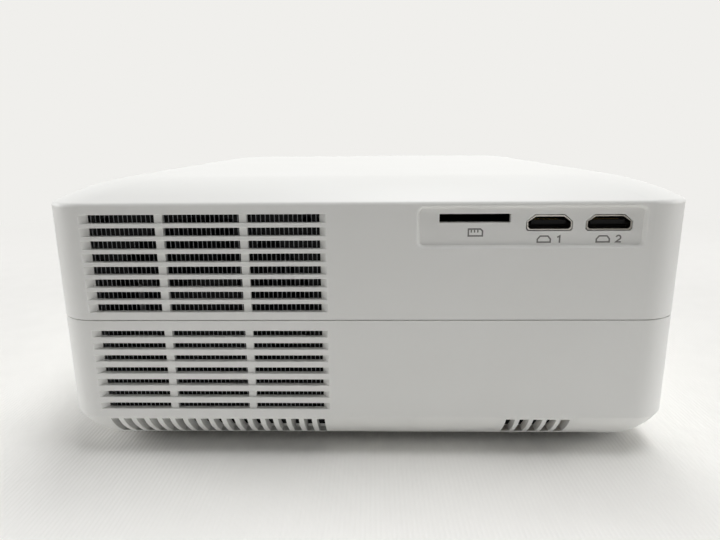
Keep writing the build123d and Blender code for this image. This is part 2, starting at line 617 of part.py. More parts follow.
def focus_ring():
    ring = ring_y(RING_R, BARREL_R + 0.6, AXIS_X, AXIS_Z, RING_Y0, RING_Y1)
    ring = ring - rod_y(TUBE_R + RUN_FIT, AXIS_X, AXIS_Z, RING_Y0 - 1, TUBE_Y1 + 0.5)
    cone = Pos(AXIS_X, RING_Y1 - 2.0, AXIS_Z) * Rot(-90, 0, 0) * Cone(BARREL_R + 0.6, BARREL_R + 3.4, 4.2)
    ring = ring - cone
    for index in range(48):
        turn = math.radians(7.5 * index)
        x = AXIS_X + (RING_R + 0.35) * math.cos(turn)
        z = AXIS_Z + (RING_R + 0.35) * math.sin(turn)
        ring = ring - rod_y(0.8, x, z, RING_Y1 - 16, RING_Y1 + 1)
    return ring


# ---- boards and sockets ----
def main_board():
    board = box(RIGHT + 16, RIGHT + 104, BACK - 124.4, BACK - 30, BOARD_Z0, BOARD_Z1)
    board = board - box(RIGHT + 94, RIGHT + 105, BACK - 125, BACK - 106, BOARD_Z0, BOARD_Z1)
    for x, y in BOARD_SCREWS:
        board = board - rod_z(1.2, x, y, BOARD_Z0 - 1, BOARD_Z1 + 1)
    return board


def board_parts():
    pieces = []
    for x0, x1, y0, y1, tall in ((24, 34, -78, -64, 1.8), (24, 32, -58, -46, 1.2), (70, 84, -60, -50, 1.6),
                                 (60, 90, -46, -40, 7.0)):
        pieces.append(box(RIGHT + x0, RIGHT + x1, BACK + y0, BACK + y1, BOARD_Z0 - tall, BOARD_Z0))
    for x, y in ((40, -40), (50, -40), (88, -104), (88, -94)):
        pieces.append(rod_z(4, RIGHT + x, BACK + y, BOARD_Z0 - 10, BOARD_Z0))
    return pieces


def board_heat_spreader():
    x0, y0, y1 = RIGHT + 42, BACK - 84, BACK - 54
    block = box(x0, x0 + 22, y0, y1, BOARD_Z0 - 3, BOARD_Z0)
    for index in range(6):
        block = block + box(x0 + 4 * index, x0 + 4 * index + 1.4, y0, y1, BOARD_Z0 - 9, BOARD_Z0 - 2.9)
    return block


def board_screws():
    screws = []
    for x, y in BOARD_SCREWS:
        screws.append(rod_z(2.4, x, y, BOARD_Z0 - 1.8, BOARD_Z0) + rod_z(1.1, x, y, BOARD_Z0, BOARD_Z1 + 4))
    return screws


def hdmi_shells():
    shells = []
    for x in HDMI_X:
        shell = hdmi_outline(x, GAP, RECESS_Y + 0.1, SOCKET_Y1)
        shell = shell - hdmi_outline(x, GAP + 0.4, RECESS_Y, SOCKET_Y1 - 1)
        mount = box(x - 5, x + 5, SOCKET_Y1 - 8, SOCKET_Y1, HDMI_Z1 - GAP - 0.2, BOARD_Z0)
        shells.append(shell + mount)
    return shells


def hdmi_tongues():
    tongues = []
    for x in HDMI_X:
        rear = hdmi_outline(x, GAP + 0.4, SOCKET_Y1 - 4, SOCKET_Y1 - 1)
        tongues.append(rear + box(x - 5.8, x + 5.8, RECESS_Y + 1.6, SOCKET_Y1 - 3.5, 87.2, 88.6))
    return tongues


def card_reader():
    y0 = RECESS_Y + WALL + 0.1
    body = box(CARD_X0 - 1.4, CARD_X1 + 1.4, y0, y0 + 27.6, CARD_Z0 - 0.5, BOARD_Z0)
    return body - box(CARD_X0, CARD_X1, y0 - 1.4, y0 + 23.6, CARD_Z0, CARD_Z1)


def usb_socket():
    outer = box(X_FACE - 14.6, X_FACE - 0.4, USB_Y - 6.6, USB_Y + 6.6, 84.3, 90.5)
    inner = box(X_FACE - 13, X_FACE + 1, USB_Y - 6.2, USB_Y + 6.2, 84.7, 90.1)
    return outer - inner + box(X_FACE - 14.6, X_FACE - 9.5, USB_Y - 5, USB_Y + 5, 90.2, BOARD_Z0)


def usb_tongue():
    rear = box(X_FACE - 13, X_FACE - 10.5, USB_Y - 6.2, USB_Y + 6.2, 84.7, 90.1)
    return rear + box(X_FACE - 11, X_FACE - 1.6, USB_Y - 5.6, USB_Y + 5.6, 87.6, 89.6)


def audio_jacks():
    jacks = []
    for y in JACK_Y:
        body = box(X_FACE - 17, X_IN - 0.2, y - 4, y + 4, 83.3, BOARD_Z0)
        nose = rod_x(3.0, y, JACK_Z, X_IN - 1, X_FACE - 0.3)
        jacks.append(body + nose - rod_x(1.8, y, JACK_Z, X_FACE - 14, X_FACE + 1))
    return jacks


def power_board():
    board = box(RIGHT - 6, RIGHT + 84, BACK - 122, BACK - 28, POWER_Z0, POWER_Z0 + 1.6)
    x, y = TRIPOD_AT
    return board - box(x - 8.5, x + 8.5, y - 9, BACK - 27, POWER_Z0 - 1, POWER_Z0 + 3)


def transformer():
    z0 = POWER_Z0 + 1.6
    core = box(RIGHT + 28, RIGHT + 58, BACK - 82, BACK - 58, z0 + 3, z0 + 25)
    return core + box(RIGHT + 31, RIGHT + 55, BACK - 86, BACK - 54, z0, z0 + 20)


def capacitors():
    z0 = POWER_Z0 + 1.6
    sizes = [(9, 14, -100, 30), (5, 38, -106, 20), (5, 52, -106, 20), (4, 66, -46, 14), (4, 66, -58, 14)]
    return [rod_z(r, RIGHT + x, BACK + y, z0, z0 + h) for r, x, y, h in sizes]


def power_heat_sink():
    z0 = POWER_Z0 + 1.6
    x0, y0 = RIGHT + 66, BACK - 100
    sink = box(x0, x0 + 3, y0, y0 + 30, z0, z0 + 28)
    for index in range(5):
        sink = sink + box(x0 + 2, x0 + 10, y0 + 7 * index + 0.5, y0 + 7 * index + 2, z0, z0 + 28)
    return sink


def mains_inlet():
    body = box(X_FACE - 19, X_IN - 0.01, INLET_Y - 14, INLET_Y + 14, INLET_Z - 8, INLET_Z + 8)
    nose = inlet_outline(-1.5, X_IN - 1, X_FACE - 0.4)
    body = body + nose - inlet_outline(0, X_FACE - 15, X_FACE + 1)
    for side in (-4.3, 4.3):
        body = body + rod_x(1.2, INLET_Y + side, INLET_Z, X_FACE - 16, X_FACE - 4.5)
    return body


def speaker():
    y, z = SPEAKER_Y, SPEAKER_Z
    cup = rod_x(SPEAKER_R, y, z, X_IN - 4, X_IN)
    cup = cup - rod_x(SPEAKER_R - 2, y, z, X_IN - 2.5, X_IN + 1)
    magnet = rod_x(11, y, z, X_IN - 18.5, X_IN - 8.5)
    basket = Pos(X_IN - 6.7, y, z) * Rot(0, 90, 0) * Cone(11, SPEAKER_R - 1, 6)
    return cup + magnet + basket


# ---- front keys ----
def key(x):
    cap = rod_y(KEY_R, x, KEY_Z, KEY_BACK, KEY_FACE)
    cap = fillet(cap.edges().sort_by(Axis.Y)[-1], 0.6)
    return cap + rod_y(KEY_FLANGE_R, x, KEY_Z, KEY_BACK, KEY_BACK + 1.4)


def key_board():
    return box(KEY_BOARD_X0, KEY_BOARD_X1, KEY_BOARD_Y0, SWITCH_Y, 76, 92)


def key_switches():
    switches = []
    for x in KEY_X.values():
        base = box(x - 3, x + 3, SWITCH_Y, SWITCH_Y + 2.4, KEY_Z - 3, KEY_Z + 3)
        switches.append(base + rod_y(1.7, x, KEY_Z, SWITCH_Y, SWITCH_Y + 3.3))
    return switches


def ir_window():
    return box(IR_X0, IR_X1, Y_IN - 1.0, Y_FACE - 0.15, IR_Z0, IR_Z1)


def status_lens():
    return rod_y(1.5, STATUS_X, KEY_Z, SWITCH_Y, Y_FACE - 0.1)


# ---- disc player ----
def drive_chassis():
    y0, y1 = TRAY_Y0 - 5.0, TRAY_Y1 + 5.0
    x0, x1 = DISC_X - 63.5, X_FACE - 12
    frame = box(x0, x1, y0, y1, BASE_Z0, BASE_Z1)
    inner0, inner1 = TRAY_Y0 - FLANGE_OUT - RAIL_GAP, TRAY_Y1 + FLANGE_OUT + RAIL_GAP
    for near, far, back, tip0, tip1 in ((y0, inner0, x0, inner0, TRAY_Y0 - RAIL_GAP),
                                        (inner1, y1, x0 - 8, TRAY_Y1 + RAIL_GAP, inner1)):
        frame = frame + box(back, x1, near, far, BASE_Z0, 44) + box(x1 - 1, x1 + 7, near, far, 18, 44)
        for z0, z1 in ((FLANGE_Z0 - RAIL_GAP - 1.4, FLANGE_Z0 - RAIL_GAP),
                       (FLANGE_Z1 + RAIL_GAP, FLANGE_Z1 + RAIL_GAP + 1.4)):
            low, high = min(near, tip0), max(far, tip1)
            frame = frame + box(back, x1 + 7, low, high, z0, z1)
    for ear in ((DISC_Y - 31, DISC_Y - 27.5), (DISC_Y + 27.5, DISC_Y + 31)):
        lug = box(DECK_AXIS_X - 3, DECK_AXIS_X + 5, ear[0], ear[1], BASE_Z0, 30)
        lug = lug - rod_y(ROD_R + RUN_FIT, DECK_AXIS_X, DECK_AXIS_Z, ear[0] - 1, ear[1] + 1)
        frame = frame + lug
    frame = frame - box(DISC_X - 56.5, DISC_X + 30.5, DISC_Y - 26, DISC_Y + 26, BASE_Z0 - 1, BASE_Z1 + 1)
    frame = frame + rod_z(3.2, GEAR_X, GEAR_Y, BASE_Z1 - 0.1, 27.4) + rod_z(2.0, GEAR_X, GEAR_Y, 27, 36)
    for x, y in DRIVE_PADS:
        frame = frame - rod_z(1.25, x, y, BASE_Z0 - 1, BASE_Z1 + 1)
    return frame


def clamp_bridge():
    y0, y1 = TRAY_Y0 - 5.0, TRAY_Y1 + 5.0
    arm = box(DISC_X - 17, DISC_X + 17, y0, y1, 46.5, 48)
    for near, far in ((y0, y0 + 2.2), (y1 - 2.2, y1)):
        arm = arm + box(DISC_X - 17, DISC_X + 17, near, far, 44, 47)
    return arm - rod_z(11, DISC_X, DISC_Y, 45, 50)


def clamp_puck():
    puck = rod_z(11 - RUN_FIT, DISC_X, DISC_Y, 45.5, 49)
    return puck + rod_z(14, DISC_X, DISC_Y, 44.9, 46.1) + rod_z(14, DISC_X, DISC_Y, 48.4, 49.8)


def deck():
    x0, y0, y1 = DECK_AXIS_X - 2, DISC_Y - 26, DISC_Y + 26
    body = box(x0, DISC_X + 28.5, y0, y1, DECK_Z0, DECK_Z1)
    body = body - box(x0 + 3.5, DISC_X - 14.5, y0 + 5, y1 - 5, DECK_Z0 - 1, DECK_Z1 + 1)
    body = body - rod_z(4, DISC_X, DISC_Y, DECK_Z0 - 1, DECK_Z1 + 1)
    body = body - box(DISC_X - 6.6, DISC_X + 8.5, SCREW_Y - 8, y1 + 1, DECK_Z0 - 1, DECK_Z1 + 1)
    rear = (x0, x0 + 3)
    for x0, x1 in (rear, (DISC_X - 14.5, DISC_X - 11.5)):
        for y in ROD_Y:
            block = box(x0, x1, y - 3, y + 3, DECK_Z1 - 0.5, 32)
            body = body + (block - rod_x(ROD_R, y, ROD_Z, x0 - 1, x1 + 1))
    for x0, x1 in (rear, (DISC_X - 9.5, DISC_X - 6.5)):
        hanger = box(x0, x1, SCREW_Y - 2.5, y1, DECK_Z1 - 0.5, 32.5)
        body = body + (hanger - rod_x(ROD_R + RUN_FIT, SCREW_Y, ROD_Z, x0 - 1, x1 + 1))
    for near, far in ((y0 - 5, y0 + 0.5), (y1 - 0.5, y1 + 5)):
        body = body + rod_y(ROD_R, DECK_AXIS_X, DECK_AXIS_Z, near, far)
    return body


def spindle_motor():
    can = rod_z(12, DISC_X, DISC_Y, 15, DECK_Z0)
    return can - rod_z(1.5 + RUN_FIT, DISC_X, DISC_Y, 17, DECK_Z0 + 1)


def turntable():
    hub = rod_z(14, DISC_X, DISC_Y, 36, 38.6) + rod_z(3, DISC_X, DISC_Y, 27.6, 36.5)
    boss = fillet(rod_z(7.3, DISC_X, DISC_Y, 38, 41).edges().sort_by(Axis.Z)[-1], 1.0)
    return hub + boss + rod_z(1.5, DISC_X, DISC_Y, 17.5, 28)


def guide_rods():
    return [rod_x(ROD_R, y, ROD_Z, DECK_AXIS_X - 2, DISC_X - 11.5) for y in ROD_Y]


def pickup_sled():
    body = box(SLED_X0, SLED_X1, DISC_Y - 20.5, DISC_Y + 20.5, 27.6, 32.4)
    body = body + box(SLED_X0 + 0.5, SLED_X1, DISC_Y - 10, DISC_Y + 10, 20, 28)
    body = body + rod_z(5, SLED_X0 + 6, DISC_Y, 32, 34.6)
    body = body + box(SLED_X0 + 1.5, SLED_X1 - 3.5, DISC_Y + 20, SCREW_Y + 2.1, 27.6, 31.6)
    for y in [*ROD_Y, SCREW_Y]:
        body = body - rod_x(ROD_R + RUN_FIT, y, ROD_Z, SLED_X0 - 5, SLED_X1 + 5)
    return body


def lead_screw():
    return rod_x(ROD_R, SCREW_Y, ROD_Z, DECK_AXIS_X - 1.5, DISC_X - 2.5)


def sled_motor():
    can = rod_x(7, SCREW_Y, ROD_Z, DISC_X - 6.5, DISC_X + 8)
    return can - rod_x(ROD_R + RUN_FIT, SCREW_Y, ROD_Z, DISC_X - 7.5, DISC_X - 2)


def gear_face(teeth, phase):
    pitch_r = GEAR_MODULE * teeth / 2
    root, tip = pitch_r - 1.25 * GEAR_MODULE, pitch_r + 0.8 * GEAR_MODULE
    points = []
    for index in range(teeth):
        middle = phase + 2 * math.pi * index / teeth
        for radius, half in ((root, 0.75), (tip, 0.25)):
            points.append((radius, middle - half / radius))
        for radius, half in ((tip, 0.25), (root, 0.75)):
            points.append((radius, middle + half / radius))
    return make_face(Polyline(*[(r * math.cos(a), r * math.sin(a)) for r, a in points], close=True))


def tray_gear():
    half_tooth = math.pi / GEAR_TEETH
    wheel = extrude(gear_face(GEAR_TEETH, math.pi / 2 + half_tooth), 9.6)
    return Pos(GEAR_X, GEAR_Y, 27.7) * (wheel - Cylinder(2.0 + RUN_FIT, 40))


def motor_pinion():
    """Meshes with the tray gear on its -X side: the gear has a gap at pi, so a tooth at 0 here."""
    wheel = Pos(PINION_X, GEAR_Y, 28.2) * extrude(gear_face(PINION_TEETH, 0.0), 4.4)
    return wheel + rod_z(1.2, PINION_X, GEAR_Y, 18, 29)


def load_motor():
    can = rod_z(8, PINION_X, GEAR_Y, BASE_Z1, 25)
    return can - rod_z(1.2 + RUN_FIT, PINION_X, GEAR_Y, 17.5, 26)


def tray_rack():
    pitch_y = GEAR_Y + GEAR_MODULE * GEAR_TEETH / 2
    root, tip = pitch_y + 1.25 * GEAR_MODULE, pitch_y - 0.8 * GEAR_MODULE
    step = math.pi * GEAR_MODULE
    first = -39
    last = 2
    points = []
    for index in range(first, last + 1):
        x = GEAR_X + index * step
        points += [(x - 0.75, root), (x - 0.25, tip), (x + 0.25, tip), (x + 0.75, root)]
    x0, x1 = GEAR_X + first * step - 1.2, GEAR_X + last * step + 1.2
    points = [(x0, TRAY_Y1), (x0, root)] + points + [(x1, root), (x1, TRAY_Y1)]
    return Pos(0, 0, 34.6) * extrude(make_face(Polyline(*points, close=True)), TRAY_Z0 - 34.6 + 0.2), x0


def disc_tray():
    rack, back = tray_rack()
    body = box(TRAY_X0, X_IN, TRAY_Y0, TRAY_Y1, TRAY_Z0, TRAY_Z1)
    body = body + box(TRAY_X0, X_IN - 4, TRAY_Y0 - FLANGE_OUT, TRAY_Y1 + FLANGE_OUT, FLANGE_Z0, FLANGE_Z1)
    body = body - rod_z(DISC_R, DISC_X, DISC_Y, TRAY_FLOOR, TRAY_Z1 + 1)
    body = body - rod_z(40.5, DISC_X, DISC_Y, TRAY_FLOOR - 0.8, TRAY_Z1 + 1)
    body = body - rod_z(18, DISC_X, DISC_Y, TRAY_Z0 - 1, TRAY_Z1 + 1)
    body = body - box(TRAY_X0 - 1, DISC_X, DISC_Y - 18, DISC_Y + 18, TRAY_Z0 - 1, TRAY_Z1 + 1)
    body = body + box(back, TRAY_X0 + 1, TRAY_Y1 - 2.5, TRAY_Y1, 34.6, TRAY_Z1)
    body = body + box(back, TRAY_X0 + 1, TRAY_Y1 - 1, TRAY_Y1 + FLANGE_OUT, FLANGE_Z0, FLANGE_Z1)
    return body + rack


def tray_door():
    door = box(X_IN, X_FACE, DOOR_Y0, DOOR_Y1, DOOR_Z0, DOOR_Z1)
    return chamfer(door.faces().sort_by(Axis.X)[-1].edges(), 0.3)


# ---- every piece ----
nodes = {
    "top_cover": top_cover(),
    "bottom_case": bottom_case(),
    "vent_mesh": [mesh_plate(56.0, 92.0), mesh_plate(17.4, 53.0)],
    "rubber_feet": rubber_feet(),
    "screws": case_screws() + drive_screws() + board_screws(),
    "tripod_insert": tripod_insert(),
    "lens_bezel": lens_bezel(),
    "exhaust_fan_frame": exhaust(fan_frame(FAN_SIZE, FAN_DEPTH, FAN_SIZE / 2 - 2, 16)),
    "exhaust_fan_rotor": exhaust(fan_rotor(FAN_DEPTH, FAN_SIZE / 2 - 2, 15, 7)),
    "intake_fan_frame": intake(fan_frame(INTAKE_SIZE, INTAKE_DEPTH, INTAKE_SIZE / 2 - 1.8, 11)),
    "intake_fan_rotor": intake(fan_rotor(INTAKE_DEPTH, INTAKE_SIZE / 2 - 1.8, 10.5, 9)),
    "heat_sink": heat_sink(),
    "led_board": box(AXIS_X - 20, AXIS_X + 20, SINK_Y1, LAMP_Y, AXIS_Z - 20, AXIS_Z + 20),
    "led_emitter": led_emitter(),
    "engine_housing": engine_housing(),
    "engine_lid": engine_lid(),
    "condenser_lens": bulge(22, 7, AXIS_X, AXIS_Z, STOP_Y + 2, STOP_Y + 13, True),
    "fresnel_plates": [plate(*PLATES[0]), plate(*PLATES[2])],
    "lcd_panel": plate(*PLATES[1]),
    "lens_tube": lens_tube(),
    "lens_barrel": lens_barrel(),
    "lens_elements": lens_elements(),
    "focus_ring": focus_ring(),
    "main_board": main_board(),
    "board_parts": board_parts(),
    "board_heat_spreader": board_heat_spreader(),
    "socket_shells": hdmi_shells() + [usb_socket()],
    "socket_tongues": hdmi_tongues() + [usb_tongue()],
    "card_reader": card_reader(),
    "audio_jacks": audio_jacks(),
    "power_board": power_board(),
    "power_parts": [transformer(), power_heat_sink()] + capacitors(),
    "mains_inlet": mains_inlet(),
    "speaker": speaker(),
    "key_board": key_board(),
    "key_switches": key_switches(),
    "ir_window": ir_window(),
    "status_lens": status_lens(),
    "drive_chassis": drive_chassis(),
    "clamp_bridge": clamp_bridge(),
    "clamp_puck": clamp_puck(),
    "deck": deck(),
    "spindle_motor": spindle_motor(),
    "turntable": turntable(),
    "guide_rods": guide_rods(),
    "pickup_sled": pickup_sled(),
    "lead_screw": lead_screw(),
    "sled_motor": sled_motor(),
    "disc_tray": disc_tray(),
    "tray_door": tray_door(),
    "tray_gear": tray_gear(),
    "load_motor": load_motor(),
    "motor_pinion": motor_pinion(),
}
for name, x in KEY_X.items():
    nodes[name] = key(x)

for name, shape in nodes.items():
    if isinstance(shape, list):
        shape = Compound(children=[piece for piece in shape])
    export_step(shape, f"parts/{name}.step")
print(len(nodes), "nodes written")
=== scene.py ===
# %% [markdown]
# # A projector with a disc player, dressed for the camera
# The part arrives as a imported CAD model: two white shells, a lens, fans, boards and a disc drive
# that moves. This lesson keeps those solids where they are and adds what a solid can't say: the
# finish of each material, the wire mesh behind the louvres, printed marks, contacts and light.
# The frame comes first, because each later piece takes its place from it.

# %% Load the frame
import bmesh
import bpy
import math
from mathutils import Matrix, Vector


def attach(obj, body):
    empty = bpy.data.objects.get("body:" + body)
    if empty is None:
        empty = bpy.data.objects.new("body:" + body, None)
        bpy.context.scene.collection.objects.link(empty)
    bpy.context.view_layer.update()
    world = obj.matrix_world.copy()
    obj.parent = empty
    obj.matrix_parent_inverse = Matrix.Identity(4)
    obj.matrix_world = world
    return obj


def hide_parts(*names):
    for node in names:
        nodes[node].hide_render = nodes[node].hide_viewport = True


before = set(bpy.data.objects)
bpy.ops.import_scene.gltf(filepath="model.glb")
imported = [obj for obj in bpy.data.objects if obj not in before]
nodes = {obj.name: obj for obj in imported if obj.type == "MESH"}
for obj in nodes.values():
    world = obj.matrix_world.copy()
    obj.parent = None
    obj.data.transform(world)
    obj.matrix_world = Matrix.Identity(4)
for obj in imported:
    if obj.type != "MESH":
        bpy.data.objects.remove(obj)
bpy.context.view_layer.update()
MM = 0.001
LENS_X, LENS_Z = -60.0, 52.0  # the lens axis, in mm like every size of a piece below

# %% [markdown]
# ## Camera
# The photograph was taken from about 190 mm in front of the socket face and a little above it, with
# a wide lens. A camera that stands there with a 28 mm lens gives the same strong perspective: the
# roof narrows quickly and the side walls are hidden. Moving back with a longer lens would frame the
# box too, but it would show the roof far less foreshortened.

# %% Camera
CAMERA_AT = Vector((2.9, -318.3, 117.0)) * MM
CAMERA_TURN = [math.radians(a) for a in (76.548, 0.464, 1.243)]
SOCKET_FACE = Vector((0.0, -130.0, 50.0)) * MM
lens = bpy.data.cameras.new("camera")
lens.lens = 28.0
lens.sensor_width = 36.0
lens.clip_start = 10 * MM
camera = bpy.data.objects.new("camera", lens)
bpy.context.scene.collection.objects.link(camera)
camera.location = CAMERA_AT
camera.rotation_euler = CAMERA_TURN
bpy.context.scene.camera = camera
print("camera", round((SOCKET_FACE - CAMERA_AT).length / MM), "mm from the face")

# %% [markdown]
# ## A first node and a first colour
# A colour picker gives sRGB codes, and the renderer works in linear light, so one function turns the
# one into the other. Materials are built from nodes. One small function adds a node, fills in its
# properties and sockets, and links it, so that each material reads as a short list of steps. Another
# opens an empty material, together with the place of each point on its object in metres.


# %% Colour and node helpers
def colour(code):
    parts = [int(code[i:i + 2], 16) / 255 for i in (1, 3, 5)]
    return tuple(c / 12.92 if c <= 0.04045 else ((c + 0.055) / 1.055) ** 2.4 for c in parts) + (1.0,)


def add(tree, kind, settings=None, links=None):
    """A new node. A setting is a property where the node has one by that name, else a socket."""
    node = tree.nodes.new(kind)
    for name, value in (settings or {}).items():
        if hasattr(node, str(name)):
            setattr(node, name, value)
        else:
            node.inputs[name].default_value = value
    for name, source in (links or {}).items():
        tree.links.new(source, node.inputs[name])
    return node


def blank(name):
    """An empty material, its node tree, and the socket with each point's place in metres."""
    material = bpy.data.materials.new(name)
    material.use_nodes = True
    material.node_tree.nodes.clear()
    place = add(material.node_tree, "ShaderNodeTexCoord").outputs["Object"]
    return material, material.node_tree, place


print("mid grey in linear light:", [round(c, 3) for c in colour("#808080")[:3]])

# %% [markdown]
# ## Light and room
# The photograph was made on a white table under a broad ceiling light: the roof is almost white, the
# socket face is in soft shade, and both upright corners are brighter than the face between them.
# One large lamp overhead gives the roof its level. It hangs a little behind the socket face, so the
# shadow at the foot falls towards the camera. Two weaker lamps at the sides light the corners, a low
# card in front lifts the socket face a little, and a dim even sky fills the shade. Camera, mirror
# and glass rays see a plain pale wall instead of that sky, so the background costs no extra light.

# %% Sky and backdrop
WALL_COLOUR = colour("#F0EFEC")
SKY_LEVEL = 0.07
world = bpy.data.worlds.new("pale room")
bpy.context.scene.world = world
world.use_nodes = True
sky = world.node_tree
sky.nodes.clear()
ray = add(sky, "ShaderNodeLightPath")
seen = add(sky, "ShaderNodeMath", {"operation": "MAXIMUM"},
           {0: ray.outputs["Is Camera Ray"], 1: ray.outputs["Is Glossy Ray"]})
seen = add(sky, "ShaderNodeMath", {"operation": "MAXIMUM"},
           {0: seen.outputs[0], 1: ray.outputs["Is Transmission Ray"]})
fill = add(sky, "ShaderNodeBackground", {"Color": colour("#FFFFFF"), "Strength": SKY_LEVEL})
wall = add(sky, "ShaderNodeBackground", {"Color": WALL_COLOUR, "Strength": 1.0})
pick = add(sky, "ShaderNodeMixShader", {},
           {0: seen.outputs[0], 1: fill.outputs[0], 2: wall.outputs[0]})
add(sky, "ShaderNodeOutputWorld", {}, {"Surface": pick.outputs[0]})
bpy.context.scene.view_settings.view_transform = "Standard"
print("sky level", SKY_LEVEL)

# %% Lamps
# Each lamp's place and target in metres, its width and height in metres, and its power in watts.
LAMPS = {
    "ceiling light": ((0.3, 0.13, 1.7), (0.0, 0.0, 0.0), (1.6, 0.7), 24.8),
    "left window": ((-1.2, 0.0, 0.4), (0.0, 0.0, 0.05), (0.8, 0.5), 7.2),
    "right window": ((1.2, -0.1, 0.4), (0.0, 0.0, 0.05), (0.8, 0.5), 4.5),
    "front card": ((0.1, -1.4, 0.08), (0.0, -0.1, 0.02), (0.9, 0.16), 1.3),
}
for name, (place, target, size, power) in LAMPS.items():
    light = bpy.data.lights.new(name, "AREA")
    light.shape = "RECTANGLE"
    light.size, light.size_y = size
    light.energy = power
    lamp = bpy.data.objects.new(name, light)
    bpy.context.scene.collection.objects.link(lamp)
    lamp.location = place
    lamp.rotation_euler = (Vector(target) - Vector(place)).to_track_quat("-Z", "Y").to_euler()
print(len(LAMPS), "lamps,", round(sum(power for *_, power in LAMPS.values()), 1), "W")

# %% [markdown]
# ## The table top
# The object stands on a pale ribbed mat: fine ribs run from front to back, and they show only where
# the light grazes them, in the soft shadow at the object's foot. The ribs are 1.6 mm apart.
# Two things change with the distance from the object. For bounced light the mat is painted dark,
# a painted shade that stands for a dim room beyond a table: a mat that stayed white would light the
# socket face far too much from below. For the camera it fades into the wall's colour, so no horizon
# line crosses the picture.

# %% Ribbed mat
MAT_RADIUS = 2.2
RIB_PITCH = 1.6
RIB_DEPTH = 0.13
WAVE_PERIOD = 0.314  # metres between the bands of a wave texture whose scale is 1
DARK_FROM, DARK_TO = 0.3, 0.45  # metres from the object's middle, for bounced light
FADE_FROM, FADE_TO = 0.3, 0.7  # the same for what the camera sees
mat_top, t, place = blank("pale ribbed vinyl mat")
from_camera = add(t, "ShaderNodeLightPath").outputs["Is Camera Ray"]
reach = add(t, "ShaderNodeVectorMath", {"operation": "LENGTH"}, {0: place}).outputs["Value"]
speck = add(t, "ShaderNodeTexNoise", {"Scale": 60.0, "Detail": 4.0}, {"Vector": place})
tone = add(t, "ShaderNodeMix", {"data_type": "RGBA", 6: colour("#EFEEEB"), 7: colour("#F4F3F0")},
           {0: speck.outputs["Fac"]})
bounced = add(t, "ShaderNodeMath", {"operation": "SUBTRACT", 0: 1.0}, {1: from_camera})
# painted shade: for bounced light the mat's colour turns to #6E6A64 between DARK_FROM and DARK_TO
room = add(t, "ShaderNodeMapRange", {"From Min": DARK_FROM, "From Max": DARK_TO},
           {"Value": reach, "To Max": bounced.outputs[0]})
tone = add(t, "ShaderNodeMix", {"data_type": "RGBA", 7: colour("#6E6A64")},
           {0: room.outputs[0], 6: tone.outputs[2]})
ribs = add(t, "ShaderNodeTexWave", {"wave_type": "BANDS", "bands_direction": "X",
                                    "Scale": WAVE_PERIOD / (RIB_PITCH * MM)}, {"Vector": place})
bump = add(t, "ShaderNodeBump", {"Strength": 0.6, "Distance": RIB_DEPTH * MM},
           {"Height": ribs.outputs["Fac"]})
vinyl = add(t, "ShaderNodeBsdfPrincipled",
            {"Roughness": 0.6, "IOR": 1.5, "Specular IOR Level": 0.25},
            {"Base Color": tone.outputs[2], "Normal": bump.outputs[0]})
fade = add(t, "ShaderNodeMapRange", {"From Min": FADE_FROM, "From Max": FADE_TO}, {"Value": reach})
far = add(t, "ShaderNodeMath", {"operation": "MULTIPLY"}, {0: fade.outputs[0], 1: from_camera})
glow = add(t, "ShaderNodeEmission", {"Color": WALL_COLOUR, "Strength": 1.0})
pick = add(t, "ShaderNodeMixShader", {},
           {0: far.outputs[0], 1: vinyl.outputs[0], 2: glow.outputs[0]})
add(t, "ShaderNodeOutputMaterial", {}, {"Surface": pick.outputs[0]})

RIM_STEPS = 64
turns = [2 * math.pi * i / RIM_STEPS for i in range(RIM_STEPS)]
data = bpy.data.meshes.new("mat")
data.from_pydata([(MAT_RADIUS * math.cos(a), MAT_RADIUS * math.sin(a), 0.0) for a in turns], [],
                 [list(range(RIM_STEPS))])
data.materials.append(mat_top)
mat = bpy.data.objects.new("mat", data)
bpy.context.scene.collection.objects.link(mat)
print("mat radius", MAT_RADIUS, "m, ribs", RIB_PITCH, "mm apart")

# %% [markdown]
# ## Finishes
# Each finish below starts from what the real part is made of and how its surface was made. Most
# share one build: a body colour with a slow second tone, so that no surface is dead flat, a fine
# grain in the surface, and a roughness that varies a little with the grain. The grain's size and
# depth are in millimetres. Metals keep the default IOR, and their colour is the colour of what
# they reflect.


# %% One build for solid finishes
CLOUD = 35.0  # size of the slow second tone, in mm
ROUGHNESS_SPREAD = 0.04


def surface(name, base, shade, roughness, grain, depth, ior=1.5, metallic=0.0,
            stretch=(1, 1, 1), **more):
    material, tree, place = blank(name)
    material.diffuse_color = colour(base)
    slow = add(tree, "ShaderNodeTexNoise", {"Scale": 1 / (CLOUD * MM), "Detail": 2.0},
               {"Vector": place})
    body = add(tree, "ShaderNodeMix", {"data_type": "RGBA", 6: colour(base), 7: colour(shade)},
               {0: slow.outputs["Fac"]})
    drawn = add(tree, "ShaderNodeMapping", {"Scale": stretch}, {"Vector": place})
    fine = add(tree, "ShaderNodeTexNoise", {"Scale": 1 / (grain * MM), "Detail": 2.0},
               {"Vector": drawn.outputs[0]})
    gloss = add(tree, "ShaderNodeMapRange", {"To Min": roughness - ROUGHNESS_SPREAD,
                                             "To Max": roughness + ROUGHNESS_SPREAD},
                {"Value": fine.outputs["Fac"]})
    relief = add(tree, "ShaderNodeBump", {"Strength": 0.5, "Distance": depth * MM},
                 {"Height": fine.outputs["Fac"]})
    settings = {"IOR": ior, "Metallic": metallic}
    settings.update({key.replace("_", " "): value for key, value in more.items()})
    shader = add(tree, "ShaderNodeBsdfPrincipled", settings,
                 {"Base Color": body.outputs[2], "Roughness": gloss.outputs[0],
                  "Normal": relief.outputs[0]})
    add(tree, "ShaderNodeOutputMaterial", {}, {"Surface": shader.outputs[0]})
    return material


finish = {}
print("second tone every", CLOUD, "mm or so")

